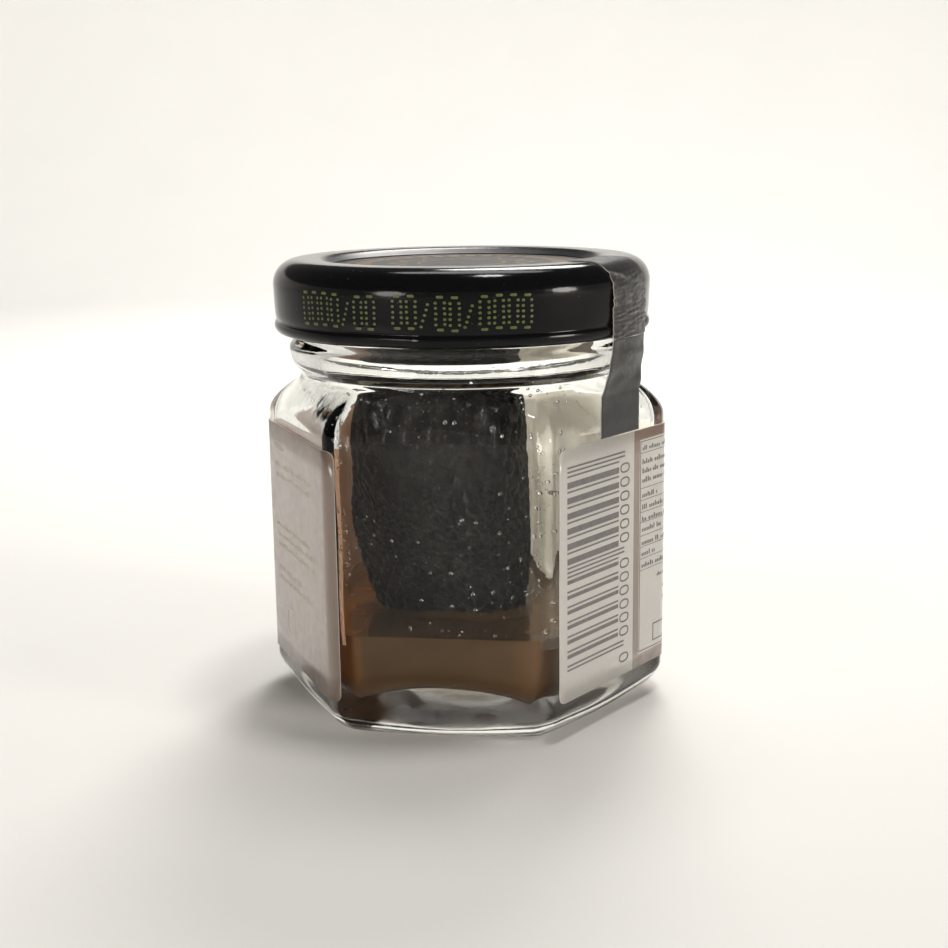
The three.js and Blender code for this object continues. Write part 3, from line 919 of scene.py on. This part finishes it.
class Sheet:
    """Flat shapes drawn at (s, z), later laid round the jar."""

    def __init__(self):
        self.bm = bmesh.new()

    def patch(self, s0, s1, z0, z1):
        """A rectangle, with columns enough to follow a corner."""
        on_corner = abs((lerp(s0, s1, 0.5) + FLAT_END) % SIXTH_LENGTH - 2 * FLAT_END - CORNER_LENGTH / 2)
        crosses = on_corner < (s1 - s0) / 2 + CORNER_LENGTH
        columns = max(1, ceil((s1 - s0) / 0.35)) if crosses else 1
        middle = Vector(((s0 + s1) / 2, (z0 + z1) / 2, 0))
        place = Matrix.Translation(middle) @ Matrix.Diagonal(((s1 - s0) / 2, (z1 - z0) / 2, 1, 1))
        bmesh.ops.create_grid(self.bm, x_segments=columns, y_segments=1, size=1, matrix=place)

    def ring(self, s, z, half_s, half_z, thickness, steps=20, power=2.0):
        """A ring, rounder or squarer by its power: 2 is a plain oval."""
        made = bmesh.ops.create_circle(self.bm, segments=steps, radius=1, cap_ends=True)
        face = made["verts"][0].link_faces[0]
        for vert in made["verts"]:
            a = atan2(vert.co.y, vert.co.x)
            square = (abs(cos(a)) ** power + abs(sin(a)) ** power) ** (-1 / power)
            vert.co = (s + half_s * square * cos(a), z + half_z * square * sin(a), 0)
        bmesh.ops.inset_individual(self.bm, faces=[face], thickness=thickness, use_even_offset=True)
        bmesh.ops.delete(self.bm, geom=[face], context="FACES")

    def frame(self, s0, s1, z0, z1, line):
        """A rectangle drawn by four rules."""
        self.patch(s0, s1, z1 - line, z1)
        self.patch(s0, s1, z0, z0 + line)
        self.patch(s0, s0 + line, z0 + line, z1 - line)
        self.patch(s1 - line, s1, z0 + line, z1 - line)

    def words(self, s0, s1, z, height, seed):
        """A line of small print, shown as blocks in runs the length of words."""
        chance = random.Random(seed)
        s = s0
        while s < s1 - height * 0.6:
            for _ in range(chance.randint(2, 8)):
                width = height * chance.uniform(0.42, 0.62)
                if s + width > s1:
                    break
                top = z + height * chance.choice((0.5, 0.5, 0.5, 0.8))
                self.patch(s, s + width * 0.55, z, top)
                s += width
            s += height * 0.5

    def lay(self, name, material, lift):
        for face in self.bm.faces:
            if face.normal.z < 0:
                face.normal_flip()
        for vert in self.bm.verts:
            vert.co = wrapped(vert.co.x, vert.co.y, lift)
        piece = finished(name, self.bm, "jar", (), [material], smooth=False)
        thicken(piece, INK_LIFT * 0.9)


class TRUFFLE_JAR_OT_label(Operator):
    """Wraps the paper label round five faces of the jar"""
    bl_idname = "truffle_jar.label"
    bl_label = "Wrap label"

    def execute(self, context):
        settings = context.scene.truffle_jar.label
        columns = label_columns()
        rows = 10
        bm = bmesh.new()
        bmesh.ops.create_grid(bm, x_segments=len(columns) - 1, y_segments=rows, size=0.5)
        for vert in bm.verts:
            s, trim = columns[round((vert.co.x + 0.5) * (len(columns) - 1))]
            vert.co = (s, lerp(LABEL_BOTTOM + trim, LABEL_TOP - trim, vert.co.y + 0.5), 0)
        layer = bm.loops.layers.uv.new("print")
        for face in bm.faces:
            for loop in face.loops:
                loop[layer].uv = (loop.vert.co.x / MAP_SPAN, loop.vert.co.y / MAP_SPAN)
        for vert in bm.verts:
            vert.co = wrapped(vert.co.x, vert.co.y, PAPER_LIFT)
        materials = [label_finish(settings), label_back_finish(settings),
                     plain_paper_finish("label_edge", (0.62, 0.58, 0.53))]
        piece = finished("label_sheet", bm, "jar", ["wrap_label"], materials)
        thicken(piece, PAPER, inner=1, rim=2)
        return {"FINISHED"}


class TRUFFLE_JAR_OT_print(Operator):
    """Prints plain bars, noughts, rules and lines of small print on the label"""
    bl_idname = "truffle_jar.print"
    bl_label = "Label print"

    def execute(self, context):
        settings = context.scene.truffle_jar.label
        dark, pale = Sheet(), Sheet()
        self.bars(dark)
        self.table(dark)
        self.main_face(pale)
        self.text_faces(pale)
        lift = PAPER_LIFT + INK_LIFT
        dark.lay("label_dark_print", ink_finish("dark_ink", settings.ink, 0.42), lift)
        pale.lay("label_pale_print", ink_finish("pale_ink", settings.pale_ink, 0.42), lift)
        return {"FINISHED"}

    def bars(self, sheet):
        """Bars that stand for a row of noughts, and the noughts beside them."""
        nought_left, nought_right = "0001101", "1110010"
        modules = "101" + nought_left * 6 + "01010" + nought_right * 6 + "101"
        low, high = 8.3, 32.7
        size = (high - low) / len(modules)
        i = 0
        while i < len(modules):
            if modules[i] == "0":
                i += 1
                continue
            run = len(modules[i:]) - len(modules[i:].lstrip("1"))
            guard = i < 3 or i > 91 or 44 < i < 50
            sheet.patch(-9.4, 2.8 if guard else 1.5, low + i * size + 0.02, low + (i + run) * size - 0.02)
            i += run
        pitch = 1.72
        for z in [6.8] + [start + pitch * k for start in (10.2, 22.0) for k in range(6)]:
            sheet.ring(2.85, z, 1.02, 0.62, 0.2, power=2.6)

    def table(self, sheet):
        """A plain ruled table across the first corner."""
        left, right = TABLE_FRAME[:2]
        sheet.frame(*TABLE_FRAME, 0.1)
        sheet.words(left + 0.5, right - 6, 32.02, 0.72, 1)
        sheet.patch(left + 0.1, right - 0.1, 31.66, 31.74)
        for k, z in enumerate((30.3, 29.15, 28.0)):
            sheet.words(left + 0.5, right - 9 - k, z, 0.82, 10 + k)
        for k, z in enumerate((27.3, 25.8, 24.3, 23.0, 21.3, 19.9, 18.4, 16.9)):
            sheet.patch(left + 0.1, right - 0.1, z - 0.035, z + 0.035)
            if k < 7:
                sheet.words(left + 0.5, left + 4.4 + (k * 37 % 5), z - 1.18, 0.78, 20 + k)
                sheet.words(right - 5.5, right - 0.9, z - 1.18, 0.78, 40 + k)
        for k, (start, end, z) in enumerate(((4.2, 3, 15.4), (5.6, 5, 13.6), (5.6, 7, 12.2))):
            sheet.words(left + start, right - end, z, 0.6, 60 + k)
        sheet.frame(9.65, 13.2, 7.1, 9.4, 0.16)

    def main_face(self, sheet):
        """A ruled frame, a circle of rings and two rules on the middle face of the label."""
        middle = 2 * SIXTH_LENGTH
        sheet.frame(middle - 9.6, middle + 9.6, 6.6, 32.7, 0.22)
        sheet.frame(middle - 9.0, middle + 9.0, 7.2, 32.1, 0.10)
        for half in (4.6, 4.1, 1.3):
            sheet.ring(middle, 21.5, half, half, 0.16, steps=48)
        for k in range(12):
            a = k / 12 * 2 * pi
            sheet.ring(middle + 2.7 * cos(a), 21.5 + 2.7 * sin(a), 0.5, 0.5, 0.12)
        for z, half in ((14.2, 6.5), (13.7, 6.5), (28.4, 5.0)):
            sheet.patch(middle - half, middle + half, z, z + 0.14)
        for k, (half, z, height) in enumerate(((5.6, 11.6, 0.9), (4.2, 9.8, 0.8), (4.6, 29.4, 0.9))):
            sheet.words(middle - half, middle + half, z, height, 70 + k)

    def text_faces(self, sheet):
        """Lines of small print on the last two faces, with a plain square near the foot."""
        middle = 3 * SIXTH_LENGTH
        for k in range(11):
            sheet.words(middle - 9.2, middle + 9.2 - (k * 29 % 7), 30.5 - 1.75 * k, 0.85, 80 + k)
        middle = 4 * SIXTH_LENGTH
        for k, (z, start, end) in enumerate((
                (31.6, -9.0, -4.6), (29.3, -9.4, 7.2), (27.9, -8.8, 6.4), (21.4, -9.4, 5.8),
                (20.1, -8.8, 8.6), (18.8, -8.8, 7.2), (15.6, -9.2, 1.6), (14.4, -8.6, 6.6))):
            sheet.words(middle + start, middle + end, z, 0.85, 100 + k)
        sheet.frame(middle - 5.8, middle - 2.4, 7.9, 11.3, 0.16)


# ---- seal strip

def on_lid(r, z, across):
    """A point of the lid at a fixed distance from the vertical plane through the strip's middle."""
    point = Vector((sqrt(max(0.0, r * r - across * across)), across, z))
    return Matrix.Rotation(STRIP_LID_ANGLE, 3, "Z") @ point


def on_first_face(z, across, out):
    """A point of the first face's plane."""
    normal = Vector((cos(FIRST_FACE), sin(FIRST_FACE), 0))
    along = Vector((-normal.y, normal.x, 0))
    return (APOTHEM + out) * normal + (STRIP_FACE_OFFSET + across) * along + Vector((0, 0, z))


def creased_strip(name, rows, columns, place, settings, nodes, body):
    """A strip of paper from a grid. place(t, side) gives a point, its way out, crease height and how far it
    is lightened, by scuffs and by painted sheen on the bends.
    """
    bm = bmesh.new()
    bmesh.ops.create_grid(bm, x_segments=columns, y_segments=rows, size=0.5)
    # The 'crease' layer holds how far the paper is lightened: scuffs and painted sheen.
    layer = bm.verts.layers.float.new("crease")
    for vert in bm.verts:
        t, side = 0.5 - vert.co.y, 2 * vert.co.x
        point, out, crease, scuff_and_sheen = place(t, side)
        vert.co = point + out * crease
        vert[layer] = scuff_and_sheen
    materials = [strip_finish(settings), plain_paper_finish("strip_back", (0.36, 0.34, 0.32)),
                 plain_paper_finish("strip_edge", (0.42, 0.40, 0.37))]
    bm.normal_update()
    middle = min(bm.faces, key=lambda face: face.calc_center_median().length)
    outward = Vector((middle.calc_center_median().x, middle.calc_center_median().y, 0))
    if middle.normal.dot(outward + Vector((0, 0, 1))) < 0:
        bmesh.ops.reverse_faces(bm, faces=bm.faces)
    piece = finished(name, bm, body, nodes, materials)
    thicken(piece, PAPER, inner=1, rim=2)
    return piece


class TRUFFLE_JAR_OT_strip(Operator):
    """Lays the creased seal strip over the lid and down to the label"""
    bl_idname = "truffle_jar.strip"
    bl_label = "Seal strip"

    def execute(self, context):
        settings = context.scene.truffle_jar.strip
        height = settings.crease / MM
        edge = (LID_RADIUS - LID_EDGE, LID_TOP - LID_EDGE)
        top = edge[0] - STRIP_TOP_END
        bend = LID_EDGE * pi / 2
        side = edge[1] - STRIP_TEAR_Z
        length = top + bend + side
        tear = STRIP_TEAR_Z - STRIP_TEAR_GAP

        def upper(t, across_share):
            across = across_share * STRIP_HALF_WIDTH
            d = t * length
            if d < top:
                r, z, a = STRIP_TOP_END + d, LID_TOP, pi / 2
            elif d < top + bend:
                a = pi / 2 * (1 - (d - top) / bend)
                r, z = edge[0] + LID_EDGE * cos(a), edge[1] + LID_EDGE * sin(a)
            else:
                r, z, a = LID_RADIUS, edge[1] - (d - top - bend), 0
            point = on_lid(r + PAPER_LIFT * cos(a), z + PAPER_LIFT * sin(a), across)
            out = Matrix.Rotation(STRIP_LID_ANGLE, 3, "Z") @ Vector((cos(a), 0, sin(a)))
            on_side = ease(top + bend * 0.45, top + bend, d)
            wrinkle = abs(noise.noise(Vector((across * 0.35, d * 1.9, 2.0)))) + 0.6 * abs(
                noise.noise(Vector((across * 0.8, d * 4.3, 5.0))))
            past_fold = d - top - bend * 0.75 - 0.25 * across - 0.4
            fold = exp(-(past_fold / 0.22) ** 2) * ease(1.5, -3.5, across)
            crease = height * (on_side * wrinkle * 1.5 - 0.15 * (1 - on_side)) + 0.14 * fold
            crease = min(crease, 0.0) if z > LID_TOP - 0.2 else crease
            # Lightening: scuffs on the wrinkles, and painted sheen down the side and along the fold.
            return point, out, crease, clamp(on_side * wrinkle * 0.7 + fold)

        def lower(t, across_share):
            across = across_share * STRIP_HALF_WIDTH
            z = lerp(tear, STRIP_BOTTOM, t)
            out = Vector((cos(FIRST_FACE), sin(FIRST_FACE), 0))
            if z > STRIP_BEND_Z:
                share = (tear - z) / (tear - STRIP_BEND_Z)
                point = on_lid(LID_RADIUS + PAPER_LIFT, z, across).lerp(
                    on_first_face(STRIP_BEND_Z, across, PAPER_LIFT), share ** STRIP_SAG)
                point.z = z
            else:
                point = on_first_face(z, across, PAPER_LIFT)
            wrinkle = noise.noise(Vector((across * 0.25, z * 0.6, 9.0)))
            free = ease(STRIP_BEND_Z - 2, STRIP_BEND_Z + 1.5, z)
            crease = height * wrinkle * lerp(0.3, 1.3, free)
            crease += 0.12 * free * ease(0.55, 1.0, -across_share)
            # Lightening of the free part: scuffs, and painted sheen.
            return point, out, crease, clamp(0.12 * free * abs(wrinkle) * 3)

        creased_strip("seal_over_lid", 110, 36, upper, settings, ["seal_strip_upper"], "lid")
        creased_strip("seal_down_jar", 70, 30, lower, settings, ["seal_strip_lower"], "jar")
        return {"FINISHED"}


# ---- lid

def lug_push(angle, z):
    """How far a lug pushes the curl inwards at this angle and height, 0 to 1."""
    share = 0.0
    for lug in LUG_ANGLES:
        away = abs((degrees(angle) - lug + 180) % 360 - 180)
        if away < LUG_HALF_WIDTH:
            share = cos(away / LUG_HALF_WIDTH * pi / 2) ** 0.7
    return share * ease(49.3, 47.9, z)


class TRUFFLE_JAR_OT_lid(Operator):
    """Presses the black twist-off lid with its curled edge, lugs and recessed top"""
    bl_idname = "truffle_jar.lid"
    bl_label = "Lid"

    def execute(self, context):
        settings = context.scene.truffle_jar.lid
        edge = (LID_RADIUS - LID_EDGE, LID_TOP - LID_EDGE)
        curl = (LID_RADIUS - CURL_RADIUS, CURL_BOTTOM + CURL_RADIUS)
        inner = LID_EDGE - LID_SHEET
        outside = join_lines(
            arc(curl, (CURL_RADIUS, CURL_RADIUS), -90, 45, 10),
            through([(LID_RADIUS - 0.28, 48.09), (LID_RADIUS - 0.17, 48.6), LID_SIDE_LOW], 4),
            straight(LID_SIDE_LOW, (LID_RADIUS, edge[1]), 8),
            arc(edge, (LID_EDGE, LID_EDGE), 0, 90, 20),
            through([(edge[0], LID_TOP), (18.2, LID_TOP), (17.3, 55.2), (16.5, 54.85), (15.7, 54.5),
                     (14.9, 54.45), (0, 54.45)], 4))
        under = join_lines(
            through([(0, 54.05), (15.0, 54.05), (15.9, 54.12), (16.7, 54.46), (17.4, 54.8), (18.2, 54.9),
                     (edge[0], 54.9)], 4),
            arc(edge, (inner, inner), 90, 0, 14),
            straight((LID_RADIUS - LID_SHEET, edge[1]), (LID_RADIUS - LID_SHEET - 0.14, 49.2), 4),
            arc(curl, (CURL_RADIUS, CURL_RADIUS), 110, 270, 12))
        bm = spun(join_lines(outside, under), JAR_STEPS)
        for vert in bm.verts:
            x, y, z = vert.co
            radius, angle = hypot(x, y), atan2(y, x)
            if radius > 15 and z < 50:
                push = 1 - LUG_DEPTH * lug_push(angle, z) / radius
                vert.co.x, vert.co.y = x * push, y * push
        finished("lid_cap", bm, "lid", ["lid_shell"], [lid_finish(settings)])
        return {"FINISHED"}


class TRUFFLE_JAR_OT_code(Operator):
    """Sprays rows of noughts and strokes in dots on the side of the lid"""
    bl_idname = "truffle_jar.code"
    bl_label = "Dot print"

    def execute(self, context):
        settings = context.scene.truffle_jar.lid
        nought = [(0, row, 0) for row in range(1, 6)] + [(3, row, 0) for row in range(1, 6)]
        nought += [(1, 0, 1), (1, 6, 1)]
        stroke = [(3 - row * 0.62, row + 0.5, 0) for row in range(1, 6)]
        text = "0000/00 00/00/0000"
        start, pitch, column, row_height, top = -133.2, 4.02, 0.33, 0.60, 52.35
        wobble = random.Random(3)
        bm = bmesh.new()
        for place, letter in enumerate(text):
            shape = {"0": nought, "/": stroke}.get(letter, [])
            for across, down, dash in shape:
                angle = radians(start + place * pitch)
                z = top - down * row_height + wobble.uniform(-0.04, 0.04)
                z += 0.10 * sin(place * 0.9)
                shift = (across + dash * 0.5) * column + wobble.uniform(-0.03, 0.03)
                half = 0.19 + 0.22 * dash
                self.dot(bm, angle + shift / LID_RADIUS, z, half, 0.17)
        ink = ink_finish("olive_ink", settings.code, 0.5)
        piece = finished("lid_dot_print", bm, "lid", (), [ink])
        thicken(piece, INK_LIFT)
        return {"FINISHED"}

    def dot(self, bm, angle, z, half_across, half_up):
        """A raised dot or dash of ink that follows the lid's side."""
        made = bmesh.ops.create_circle(bm, segments=12, radius=1, cap_ends=True)
        for vert in made["verts"]:
            across = vert.co.x * half_up + copysign(half_across - half_up, vert.co.x)
            turned = angle + across / LID_RADIUS
            height = z + vert.co.y * half_up
            share = clamp((height - LID_SIDE_LOW[1]) / (LID_TOP - LID_EDGE - LID_SIDE_LOW[1]))
            reach = lerp(LID_SIDE_LOW[0], LID_RADIUS, share) + INK_LIFT
            vert.co = (reach * cos(turned), reach * sin(turned), height)
        face = made["verts"][0].link_faces[0]
        face.normal_update()
        if face.normal.dot(Vector((cos(angle), sin(angle), 0))) < 0:
            face.normal_flip()
        bmesh.ops.inset_individual(bm, faces=[face], thickness=0.03, depth=0.012)


class TRUFFLE_JAR_OT_liner(Operator):
    """Finishes the sealing ring inside the lid"""
    bl_idname = "truffle_jar.liner"
    bl_label = "Lid liner"

    def execute(self, context):
        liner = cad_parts["lid_liner"]
        material = liner_finish()
        if not liner.material_slots:
            liner.data.materials.append(material)
        for slot in liner.material_slots:
            slot.material = material
        return {"FINISHED"}


# ---- stage

class TRUFFLE_JAR_OT_stage(Operator):
    """Sets the pale floor, the soft lights, the surroundings and the camera"""
    bl_idname = "truffle_jar.stage"
    bl_label = "Stage"

    def execute(self, context):
        settings = context.scene.truffle_jar.stage
        self.floor(settings)
        self.room(context.scene)
        for lamp in LAMPS:
            self.lamp(*lamp)
        self.camera(context.scene, settings)
        context.scene.view_settings.view_transform = "Standard"
        return {"FINISHED"}

    def floor(self, settings):
        """One sheet: the floor, the curve at its rim and the low wall."""
        rim = arc((FLOOR_RADIUS, WALL_CURVE), (WALL_CURVE, WALL_CURVE), -90, 0, 16)
        bm = spun(join_lines(straight((0, 0), rim[0], 12), rim), 96)
        bmesh.ops.translate(bm, verts=bm.verts, vec=(0, 0, -0.04))
        finish = Finish("pale_floor", settings.floor, 1.0, Specular_IOR_Level=0.0)
        finish.set("Base Color", finish.ramp(
            finish.noise(0.02, 3), (0.3, tuple(settings.floor)), (0.8, shaded(settings.floor, 0.98))))
        in_metres("floor", bm, [finish.material])

    def room(self, scene):
        """An even, dim white room above the wall."""
        world = bpy.data.worlds.new("even_room")
        scene.world = world
        world.use_nodes = True
        world.node_tree.nodes["Background"].inputs["Color"].default_value = (ROOM_LIGHT,) * 3 + (1,)

    def lamp(self, name, place, aim, width, power, colour):
        light = bpy.data.lights.new(name, "AREA")
        light.shape, light.size, light.energy, light.color = "DISK", width * MM, power, colour
        lamp = placed(name, light)
        lamp.location = Vector(place) * MM
        lamp.visible_camera = False
        lamp.rotation_mode = "QUATERNION"
        lamp.rotation_quaternion = (Vector(aim) - Vector(place)).to_track_quat("-Z", "Y")

    def camera(self, scene, settings):
        data = bpy.data.cameras.new("camera")
        data.lens, data.sensor_width = settings.lens, 36
        data.clip_start, data.clip_end = 0.01, 50
        camera = placed("camera", data)
        turn = Matrix((CAMERA_RIGHT, CAMERA_UP, CAMERA_BACK)).transposed().to_4x4()
        camera.matrix_world = Matrix.Translation(CAMERA_PLACE * MM) @ turn
        scene.camera = camera


# ---- panel and running

OPERATORS = (TRUFFLE_JAR_OT_glass, TRUFFLE_JAR_OT_truffle, TRUFFLE_JAR_OT_juice, TRUFFLE_JAR_OT_droplets,
             TRUFFLE_JAR_OT_label, TRUFFLE_JAR_OT_print, TRUFFLE_JAR_OT_strip, TRUFFLE_JAR_OT_lid,
             TRUFFLE_JAR_OT_code, TRUFFLE_JAR_OT_liner, TRUFFLE_JAR_OT_stage)


class TRUFFLE_JAR_PT_panel(Panel):
    """Lists the settings and the steps that build the jar"""
    bl_idname = "TRUFFLE_JAR_PT_panel"
    bl_label = "Truffle jar"
    bl_space_type = "VIEW_3D"
    bl_region_type = "UI"
    bl_category = "Truffle jar"

    def draw(self, context):
        settings = context.scene.truffle_jar
        for name in ("jar", "truffle", "juice", "label", "strip", "lid", "stage"):
            box = self.layout.box()
            box.label(text=name.capitalize())
            group = getattr(settings, name)
            for key in group.__annotations__:
                box.prop(group, key)
        for operator in OPERATORS:
            self.layout.operator(operator.bl_idname)


CLASSES = (JarSettings, TruffleSettings, JuiceSettings, LabelSettings, StripSettings, LidSettings,
           StageSettings, TruffleJarSettings, *OPERATORS, TRUFFLE_JAR_PT_panel)


def register():
    for cls in CLASSES:
        bpy.utils.register_class(cls)
    bpy.types.Scene.truffle_jar = PointerProperty(type=TruffleJarSettings)


def unregister():
    del bpy.types.Scene.truffle_jar
    for cls in reversed(CLASSES):
        bpy.utils.unregister_class(cls)


def main():
    register()
    bpy.ops.truffle_jar.glass()
    bpy.ops.truffle_jar.truffle()
    bpy.ops.truffle_jar.juice()
    bpy.ops.truffle_jar.droplets()
    bpy.ops.truffle_jar.label()
    bpy.ops.truffle_jar.print()
    bpy.ops.truffle_jar.strip()
    bpy.ops.truffle_jar.lid()
    bpy.ops.truffle_jar.code()
    bpy.ops.truffle_jar.liner()
    bpy.ops.truffle_jar.stage()


if __name__ == "__main__":
    main()
